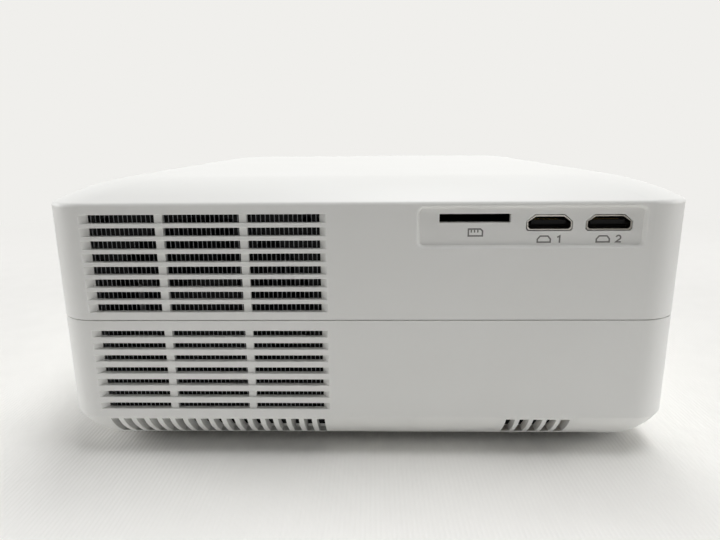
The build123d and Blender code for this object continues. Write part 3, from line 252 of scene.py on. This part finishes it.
# %% Plastics and rubber
# Moulded white ABS from a spark-eroded tool: a fine 0.4 mm grain that turns shine into a satin glow.
finish["white_abs"] = surface("moulded white ABS", "#F1F1EF", "#EEEEEB", 0.45, 0.4, 0.006,
                              ior=1.53, Specular_IOR_Level=0.35)
# Moulded grey ABS on the bezel, focus ring and keys: the same grain, a little smoother to the touch.
finish["grey_plastic"] = surface("moulded grey ABS", "#66696D", "#5F6266", 0.40, 0.3, 0.006,
                                 ior=1.53)
# Glass-filled black ABS inside: short fibres leave a coarser, duller skin.
finish["black_plastic"] = surface("glass-filled black ABS", "#080809", "#0C0C0D", 0.62, 0.6, 0.012,
                                  ior=1.55, Specular_IOR_Level=0.15)
# Pressed nitrile rubber feet: matt, with a dusty tone.
finish["black_rubber"] = surface("pressed nitrile rubber", "#1A1A1A", "#242424", 0.82, 0.5, 0.02,
                                 ior=1.52)
# Natural nylon gears: milky and slightly waxy.
finish["nylon"] = surface("moulded natural nylon", "#EDECE2", "#E4E2D6", 0.34, 0.8, 0.004,
                          ior=1.53, Subsurface_Weight=0.15, Subsurface_Scale=0.002)
# Smoked polycarbonate over the infrared receiver: near black and polished.
finish["smoke_plastic"] = surface("polished smoked polycarbonate", "#1C0F12", "#160C0F", 0.08, 2.0,
                                  0.001, ior=1.585)
print(len(finish), "plastics")

# %% Metals
# Enamelled steel wire for the vent mesh: thin grey stoving enamel over drawn wire.
finish["black_mesh"] = surface("grey-enamelled steel wire", "#B2B4B8", "#A6A8AC", 0.45, 0.3, 0.004)
# Zinc-plated steel screws and rods: grey, faintly blotched plating.
finish["steel"] = surface("zinc-plated steel", "#B9BCBE", "#AEB2B6", 0.30, 0.25, 0.003,
                          metallic=1.0)
# Nickel-plated steel socket shells: warm, bright and almost mirror smooth.
finish["socket_steel"] = surface("nickel-plated steel", "#D8D5CF", "#CCC9C2", 0.20, 0.5, 0.001,
                                 metallic=1.0)
# Turned brass insert for the stand's screw: the lathe leaves fine marks round it.
finish["brass"] = surface("turned brass", "#D3AE62", "#C69F54", 0.28, 0.2, 0.003, metallic=1.0,
                          stretch=(1, 1, 6))
# Extruded aluminium heat sink, black-anodised: a dark oxide over the die lines of the extrusion.
finish["aluminium"] = surface("black-anodised aluminium", "#17181A", "#1D1E20", 0.42, 0.25, 0.006,
                              ior=1.6, stretch=(1, 1, 0.06), Specular_IOR_Level=0.3)
# Black-lacquered steel on the transformer core and the speaker's magnet pot.
finish["magnet_steel"] = surface("lacquered magnet steel", "#2D2E30", "#26272A", 0.46, 0.5, 0.01)
print(len(finish), "finishes so far")

# %% Boards and light sources
# Solder resist over copper tracks: green, semi-gloss, with raised lines about 0.5 mm apart.
finish["green_board"] = surface("green solder resist on glass epoxy", "#12512F", "#0E4528", 0.30,
                                0.5, 0.02, ior=1.55, stretch=(0.12, 1, 1))
# Phenolic paper board of the power supply: tan, with paper fibres.
finish["tan_board"] = surface("phenolic paper board", "#B98F52", "#A57C43", 0.48, 0.4, 0.01,
                              ior=1.6, stretch=(0.2, 1, 1))
# White solder resist on the lamp's copper-core board: it throws stray light forward.
finish["copper_board"] = surface("white solder resist on copper", "#EDEDE8", "#E2E2DA", 0.35, 0.4,
                                 0.006, ior=1.55)
# Phosphor under clear silicone: a yellow body that shines through a soft dome.
finish["led_dome"] = surface("phosphor under silicone", "#E8D45A", "#DDC648", 0.12, 1.2, 0.002,
                             ior=1.43, Subsurface_Weight=0.3, Subsurface_Scale=0.002)
# Frosted acrylic light pipe beside the keys.
finish["light_pipe"] = surface("frosted acrylic rod", "#D9E1E8", "#CFD9E2", 0.45, 0.3, 0.004,
                               ior=1.49, Transmission_Weight=0.5)
print(len(finish), "finishes so far")

# %% [markdown]
# ## Glass and lens coating
# The lens is crown glass with a thin coating that kills reflections: what little light comes back is
# violet and green. A thin film on a clear glass shader gives that colour from its thickness alone.
# The fresnel plates are clear acrylic with concentric grooves, drawn here 1 mm apart because the
# real ones, about 0.3 mm, are finer than the render can show. The picture panel is dark glass.


# %% Clear finishes
def clear(name, tint, ior, roughness, film=0.0):
    """Glass or clear plastic; film is the thickness of its coating in nanometres."""
    material, tree, place = blank(name)
    veil = add(tree, "ShaderNodeTexNoise", {"Scale": 1 / (20 * MM), "Detail": 2.0},
               {"Vector": place})
    body = add(tree, "ShaderNodeMix", {"data_type": "RGBA", 6: colour(tint), 7: colour("#FFFFFF")},
               {0: veil.outputs["Fac"]})
    shader = add(tree, "ShaderNodeBsdfPrincipled",
                 {"IOR": ior, "Roughness": roughness, "Transmission Weight": 1.0,
                  "Thin Film Thickness": film, "Thin Film IOR": 1.38},
                 {"Base Color": body.outputs[2]})
    add(tree, "ShaderNodeOutputMaterial", {}, {"Surface": shader.outputs[0]})
    return material, tree, place, shader


finish["clear_glass"] = clear("coated crown glass", "#F4F8F8", 1.52, 0.0, film=430.0)[0]

GROOVE_PITCH = 1.0
finish["clear_acrylic"], t, place, shader = clear("grooved acrylic", "#F2F6F6", 1.49, 0.06)
centred = add(t, "ShaderNodeMapping", {"Location": (-LENS_X * MM, 0.0, -LENS_Z * MM)},
              {"Vector": place})
grooves = add(t, "ShaderNodeTexWave", {"wave_type": "RINGS", "rings_direction": "Y",
                                       "Scale": WAVE_PERIOD / (GROOVE_PITCH * MM)},
              {"Vector": centred.outputs[0]})
relief = add(t, "ShaderNodeBump", {"Strength": 0.6, "Distance": 0.1 * MM},
             {"Height": grooves.outputs["Fac"]})
t.links.new(relief.outputs[0], shader.inputs["Normal"])

# Dark panel glass: the cells behind it leave a faint 0.4 mm texture, coarse enough to show.
finish["lcd_glass"] = surface("liquid-crystal panel glass", "#20242B", "#1A1D24", 0.10, 0.4, 0.001,
                              ior=1.52)

# %% [markdown]
# ## Dress the solids
# Every CAD node already carries the name of its material slot, so each slot is swapped for the
# finish of the same name. The solids themselves stay as they are.

# %% Assign finishes
for solid in nodes.values():
    for index, old in enumerate(solid.data.materials):
        solid.data.materials[index] = finish[old.name.split(".")[0]]
print("dressed", len(nodes), "solids")

# %% [markdown]
# ## Making pieces
# New pieces are made of points and faces in millimetres. One function turns them into an object,
# welds their points, turns the faces outwards and hangs the piece on an empty named after its CAD
# body. Three more give plain shapes: one joins shapes into a single piece, one makes a block and
# one a turned ring.


# %% Piece helpers
def make(name, points, faces, slot, body="case", material=None, smooth=40):
    data = bpy.data.meshes.new(name)
    shape = bmesh.new()
    for point in points:
        shape.verts.new(Vector(point) * MM)
    shape.verts.ensure_lookup_table()
    for face in faces:
        shape.faces.new([shape.verts[i] for i in face])
    bmesh.ops.remove_doubles(shape, verts=shape.verts, dist=1e-7)
    bmesh.ops.recalc_face_normals(shape, faces=shape.faces)
    shape.to_mesh(data)
    shape.free()
    data.shade_smooth()
    data.set_sharp_from_angle(angle=math.radians(smooth))
    data.materials.append(material or finish[slot])
    piece = bpy.data.objects.new(name, data)
    bpy.context.scene.collection.objects.link(piece)
    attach(piece, body)
    return piece


def joined(parts):
    points, faces = [], []
    for some_points, some_faces in parts:
        start = len(points)
        points += some_points
        faces += [[i + start for i in face] for face in some_faces]
    return points, faces


def block(x0, x1, y0, y1, z0, z1):
    points = [(x, y, z) for x in (x0, x1) for y in (y0, y1) for z in (z0, z1)]
    faces = [[0, 1, 3, 2], [4, 6, 7, 5], [0, 4, 5, 1], [2, 3, 7, 6], [0, 2, 6, 4], [1, 5, 7, 3]]
    return points, faces


def turned(profile, centre, axis, steps=96):
    """A ring about an axis along X or Y, from a closed profile of (radius, distance along it)."""
    points, faces = [], []
    count = len(profile)
    for step in range(steps):
        a = 2 * math.pi * step / steps
        for radius, along in profile:
            u, v = radius * math.cos(a), radius * math.sin(a)
            spot = (along, u, v) if axis == "X" else (u, along, v)
            points.append(tuple(c + s for c, s in zip(centre, spot)))
    for step in range(steps):
        here, there = step * count, (step + 1) % steps * count
        for i in range(count):
            j = (i + 1) % count
            faces.append([here + i, here + j, there + j, there + i])
    return points, faces


print("a block has", len(block(0, 1, 0, 1, 0, 1)[1]), "faces")

# %% [markdown]
# ## Wire mesh behind the louvres
# A wire mesh is clipped behind the slats. It keeps fingers and dust out, and it is what turns the
# slots into rows of fine dark teeth. Upright wires stand 1.6 mm apart, and one cross wire runs
# behind each slat, where it doesn't narrow the slot. All are 0.22 mm thick and welded where they
# cross. A picture of a mesh on a plate would look flat, so each wire is a bar of its own.

# %% Welded mesh
WIRE_R = 0.11
PITCH_X = 1.6
MESH_X = (-97.3, -12.6)
UPRIGHT_Y = -127.2
CROSS_Y = UPRIGHT_Y + 2 * WIRE_R


def wire(start, end, across):
    """A hexagonal bar between two points; across is "X" for upright wires, "Z" for cross wires."""
    points = []
    for x, y, z in (start, end):
        for side in range(6):
            u = WIRE_R * math.cos(side * math.pi / 3)
            v = WIRE_R * math.sin(side * math.pi / 3)
            points.append((x + u, y + v, z) if across == "X" else (x, y + v, z + u))
    faces = [[side, (side + 1) % 6, (side + 1) % 6 + 6, side + 6] for side in range(6)]
    return points, faces + [list(range(6)), [6 + i for i in reversed(range(6))]]


def panel(first_slat, slat_pitch, bottom, top):
    """Upright wires from bottom to top, and a cross wire behind each slat."""
    left, right = MESH_X
    uprights = int((right - left) / PITCH_X) + 1
    slats = int((top - first_slat) / slat_pitch) + 1
    wires = []
    for i in range(uprights):
        x = left + (i + 0.5) * (right - left) / uprights
        wires.append(wire((x, UPRIGHT_Y, bottom), (x, UPRIGHT_Y, top), "X"))
    for i in range(slats):
        z = first_slat + i * slat_pitch
        wires.append(wire((left, CROSS_Y, z), (right, CROSS_Y, z), "Z"))
    return joined(wires)


upper = panel(first_slat=60.3, slat_pitch=4.54, bottom=56.0, top=92.0)
lower = panel(first_slat=22.65, slat_pitch=4.67, bottom=17.4, top=53.0)
vent_wires = make("vent_wires", *joined([upper, lower]), "black_mesh")
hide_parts("vent_mesh")
print("wire mesh points", len(vent_wires.data.vertices))

# %% [markdown]
# ## Printed marks
# The sockets carry small pad-printed marks in grey. Generic ones stand here: a card outline below
# the card slot, and a socket outline with a plain number below each of the other two. The keys at
# the front carry the usual player symbols, and the focus ring has a short scale that shows its turn.
# Ink is a thin raised film, so each mark is a flat shape three hundredths of a millimetre thick with
# mitred corners, not a picture on the surface. It is drawn in two dimensions from lines that are
# open, lines that close into a loop, and filled outlines.

# %% Ink and strokes
INK_HEIGHT = 0.03
INK_SINK = 0.005  # how far the film reaches into its surface, so that no gap shows
MITRE_LIMIT = 0.4

# Pad-printing ink: a matt, slightly uneven film.
grey_ink = surface("grey pad-printing ink", "#7A7876", "#73716F", 0.6, 0.2, 0.002)
white_ink = surface("white pad-printing ink", "#E6E6E3", "#DCDCD8", 0.6, 0.2, 0.002)


def stroke(path, width, closed):
    """The left and right edges of a line of even width through 2D points."""
    left, right = [], []
    count = len(path)
    for i, (x, y) in enumerate(path):
        before = path[i - 1] if i or closed else path[i]
        after = path[(i + 1) % count] if i < count - 1 or closed else path[i]
        a = math.atan2(y - before[1], x - before[0]) if before != (x, y) else None
        b = math.atan2(after[1] - y, after[0] - x) if after != (x, y) else None
        a, b = (b if a is None else a), (a if b is None else b)
        half = ((b - a + math.pi) % (2 * math.pi) - math.pi) / 2
        reach = width / 2 / max(math.cos(half), MITRE_LIMIT)
        turn = a + half + math.pi / 2
        left.append((x + reach * math.cos(turn), y + reach * math.sin(turn)))
        right.append((x - reach * math.cos(turn), y - reach * math.sin(turn)))
    return left, right


def filled_film(path, spot):
    count = len(path)
    points = [spot(u, v, height) for height in (0, INK_HEIGHT) for u, v in path]
    faces = [list(range(count)), [count + i for i in reversed(range(count))]]
    for i in range(count):
        j = (i + 1) % count
        faces.append([i, j, count + j, count + i])
    return points, faces


def line_film(path, width, closed, spot):
    left, right = stroke(path, width, closed)
    count = len(path)
    points = [spot(u, v, height) for u, v in [*left, *right] for height in (0, INK_HEIGHT)]
    faces = []
    for i in range(count if closed else count - 1):
        a, b = 2 * i, 2 * ((i + 1) % count)
        c, d = a + 2 * count, b + 2 * count
        faces += [[a, b, d, c], [a + 1, c + 1, d + 1, b + 1], [a, a + 1, b + 1, b],
                  [c, d, d + 1, c + 1]]
    if not closed:
        end, far_end = 2 * (count - 1), 2 * (2 * count - 1)
        faces += [[0, 2 * count, 2 * count + 1, 1], [end, end + 1, far_end + 1, far_end]]
    return points, faces


def inked(shapes, spot):
    """Solid film from (kind, path, width) shapes; spot turns (u, v, height) into a 3D point."""
    return joined([filled_film(path, spot) if kind == "fill"
                   else line_film(path, width, kind == "loop", spot)
                   for kind, path, width in shapes])


def upright_face(x, y, z, front):
    """The spot function for a drawing round (x, z) on a face at y, read from front or rear."""
    side = 1 if front else -1
    return lambda u, v, height: (x - side * u, y + side * (height - INK_SINK), z + v)


def arc(x, y, radius, start, end, steps=14):
    turns = [math.radians(start + (end - start) * i / steps) for i in range(steps + 1)]
    return [(x + radius * math.cos(a), y + radius * math.sin(a)) for a in turns]


print("ink stands", round(INK_HEIGHT - INK_SINK, 3), "mm proud")

# %% Marks under the sockets
RECESS_FLOOR = -128.2
CARD_Z, SOCKET_Z = 84.6, 82.2
PEN = 0.5
ONE = [("line", [(-0.7, 0.6), (0.15, 1.1), (0.15, -1.3)], PEN)]
TWO = [("line", arc(0.0, 0.45, 0.75, 165, -30) + [(-0.75, -1.05), (0.95, -1.05)], PEN)]
SOCKET = [("loop", [(-2.2, -1.05), (2.2, -1.05), (2.2, 0.0), (1.3, 1.05), (-1.3, 1.05), (-2.2, 0.0)],
           PEN)]
CARD = [("loop", [(-2.4, -1.2), (2.4, -1.2), (2.4, 0.5), (1.7, 1.2), (-2.4, 1.2)], PEN)]
CARD += [("line", [(x, 0.9), (x, 0.0)], 0.45) for x in (-1.4, -0.3, 0.8)]
marks = [(CARD, 38.0, CARD_Z), (SOCKET, 61.4, SOCKET_Z), (ONE, 66.6, SOCKET_Z),
         (SOCKET, 81.4, SOCKET_Z), (TWO, 86.6, SOCKET_Z)]
films = [inked(shapes, upright_face(x, RECESS_FLOOR, z, front=False)) for shapes, x, z in marks]
make("socket_marks", *joined(films), "grey_plastic", material=grey_ink)
print(len(films), "marks in the recess")

# %% Symbols on the keys
KEY_FACE = 129.7
KEY_Z = 84.0
FIRST_KEY_X, KEY_PITCH = 84.0, 16.0
SYMBOLS = {
    "key_power": [("line", arc(0, -0.1, 1.5, 55, -235, 24), 0.42),
                  ("line", [(0, 0.3), (0, 1.9)], 0.42)],
    "key_source": [("line", [(-0.6, 1.3), (1.6, 1.3), (1.6, -1.3), (-0.6, -1.3)], 0.4),
                   ("line", [(-2.0, 0), (0.5, 0)], 0.4),
                   ("line", [(-0.3, 0.8), (0.6, 0), (-0.3, -0.8)], 0.4)],
    "key_left": [("fill", [(1.0, 1.4), (-1.4, 0), (1.0, -1.4)], 0)],
    "key_play": [("fill", [(-1.8, 1.3), (0.3, 0), (-1.8, -1.3)], 0),
                 ("line", [(0.9, 1.3), (0.9, -1.3)], 0.45),
                 ("line", [(1.8, 1.3), (1.8, -1.3)], 0.45)],
    "key_right": [("fill", [(-1.0, 1.4), (1.4, 0), (-1.0, -1.4)], 0)],
    "key_eject": [("fill", [(-1.6, -0.2), (0, 1.7), (1.6, -0.2)], 0),
                  ("line", [(-1.6, -1.1), (1.6, -1.1)], 0.5)],
}
for index, (body, shapes) in enumerate(SYMBOLS.items()):
    spot = upright_face(FIRST_KEY_X - KEY_PITCH * index, KEY_FACE, KEY_Z, front=True)
    make(body + "_symbol", *inked(shapes, spot), "grey_plastic", body=body, material=white_ink)
print(len(SYMBOLS), "key symbols")

# %% Marks on the focus ring
RING_FACE = 127.5
TICK_TURN = 11.0  # degrees from tick to tick
TICK_OUTER = 30.5
scale = [("fill", [(-0.8, 30.6), (0.8, 30.6), (0.0, 29.2)], 0)]
for tick in (-4, -3, -2, -1, 1, 2, 3, 4):
    a = math.radians(90 - TICK_TURN * tick)
    inner = 29.3 + 0.1 * abs(tick)
    ends = [(radius * math.cos(a), radius * math.sin(a)) for radius in (inner, TICK_OUTER)]
    scale.append(("line", ends, 0.3))
ring_marks = inked(scale, upright_face(LENS_X, RING_FACE, LENS_Z, front=True))
make("focus_marks", *ring_marks, "grey_plastic", body="ring", material=white_ink)
print(len(scale), "marks on the ring")

# %% [markdown]
# ## Contacts and small fittings
# Sockets look empty without their contacts. Gold-flashed springs run along each tongue, two
# nickel-plated pins stand in the mains inlet and the sound sockets have bright rims. Two strips of
# black felt stand on the floor of the case behind the foot slots. They are painted shade: dark
# sheets that stand for the shade inside the case, so that the white floor doesn't shine through.

# %% Socket contacts
VIDEO_X = (63.0, 83.1)
VIDEO_Y = (-124.6, -121.0)
UNDER_TONGUE, OVER_TONGUE = (87.12, 87.25), (88.55, 88.68)
DATA_X, DATA_Z = (103.0, 110.4), (87.5, 87.65)
DATA_Y, DATA_PITCH = -92.0, 2.2
# Gold flash over phosphor bronze: a thin, bright and slightly pale gold.
gold = surface("gold-flashed bronze", "#E3C16A", "#DDB95E", 0.22, 0.3, 0.001, metallic=1.0)
contacts = []
for middle in VIDEO_X:
    for i in range(10):
        x = middle - 4.5 + i
        contacts.append(block(x - 0.22, x + 0.22, *VIDEO_Y, *UNDER_TONGUE))
        if i:
            contacts.append(block(x - 0.72, x - 0.28, *VIDEO_Y, *OVER_TONGUE))
for i in range(4):
    y = DATA_Y + (i - 1.5) * DATA_PITCH
    contacts.append(block(*DATA_X, y - 0.55, y + 0.55, *DATA_Z))
make("socket_contacts", *joined(contacts), "brass", material=gold)
print(len(contacts), "contact strips")

# %% Pins, rims and felt
PIN = [(0.3, 108.75), (0.9, 108.7), (1.25, 108.2), (1.25, 97.5), (0.3, 97.5)]
pins = [turned(PIN, (0.0, y, 34.0), "X", 24) for y in (-88.3, -79.7)]
make("inlet_pins", *joined(pins), "socket_steel")
RIM = [(1.75, 110.0), (1.75, 112.75), (1.9, 112.88), (2.45, 112.88), (2.6, 112.72), (2.6, 112.5),
       (1.9, 112.5), (1.9, 110.0)]
rims = [turned(RIM, (0.0, y, 87.3), "X", 40) for y in (-76.0, -64.0)]
make("jack_rims", *joined(rims), "socket_steel")
# Black felt behind the foot slots, painted shade for the inside of the case: fibrous and matt.
felt = surface("black shade felt", "#131314", "#1B1B1D", 0.95, 0.3, 0.08, ior=1.45)
SHADE_FELT_Y = (-117.15, -116.85)
FLOOR_Z = 6.45
strips = [block(-97.0, -14.0, *SHADE_FELT_Y, FLOOR_Z, 11.95), block(48.0, 92.0, *SHADE_FELT_Y, FLOOR_Z, 10.95)]
# painted shade: these black strips stand for the shade inside the case behind the foot slots
make("slot_shade_felt", *joined(strips), "black_rubber", material=felt)
print(len(pins), "pins,", len(rims), "rims and", len(strips), "felt strips")

# %% [markdown]
# ## Lens mouth
# Looking into the lens, the glass is held by a black ring that narrows inwards. Its lacquer stops
# stray light, and its long taper gives the mouth its depth.

# %% Retaining ring
RING_OUT, RING_FRONT, RING_BACK = 21.95, 121.4, 112.7
taper = [(21.5 - 0.22 * i, RING_FRONT - 1.1 * i) for i in range(8)]
profile = [(RING_OUT, RING_FRONT), *taper, (19.95, 113.4), (20.4, 113.1), (RING_OUT, RING_BACK)]
# Lens black: a thin matt lacquer with enough sheen for the taper to catch the light.
lacquer = surface("matt lens lacquer", "#1A1A1C", "#202022", 0.36, 0.4, 0.003)
make("lens_retainer", *turned(profile, (LENS_X, 0.0, LENS_Z), "Y", 128), "black_plastic",
     body="barrel", material=lacquer, smooth=25)
print("the ring narrows by", round(taper[0][0] - taper[-1][0], 2), "mm")

# %% [markdown]
# ## Speaker
# Behind the side slots sits a small paper cone with a half-round rubber surround and a dust cap.

# %% Speaker cone
bead = [(14.3 + 1.0 * math.cos(0.4 * i), 109.3 + 0.8 * math.sin(0.4 * i)) for i in range(1, 8)]
front = [(15.3, 109.2), *bead, (12.6, 109.1), (9.0, 108.75), (5.4, 108.4), (4.6, 108.95),
         (3.0, 109.5), (0.4, 109.75)]
back = [(0.4, 109.5), (3.0, 109.2), (4.4, 108.7), (5.2, 108.1), (9.0, 108.4), (12.6, 108.8),
        (15.3, 108.9)]
# Pressed paper, dyed black: fibrous and matt.
paper = surface("dyed pressed paper", "#222224", "#2C2C2E", 0.9, 0.4, 0.05, ior=1.45)
make("speaker_cone", *turned(front + back, (0.0, -44.0, 35.0), "X", 72), "black_rubber",
     material=paper)
print("speaker cone", 2 * front[0][0], "mm across")
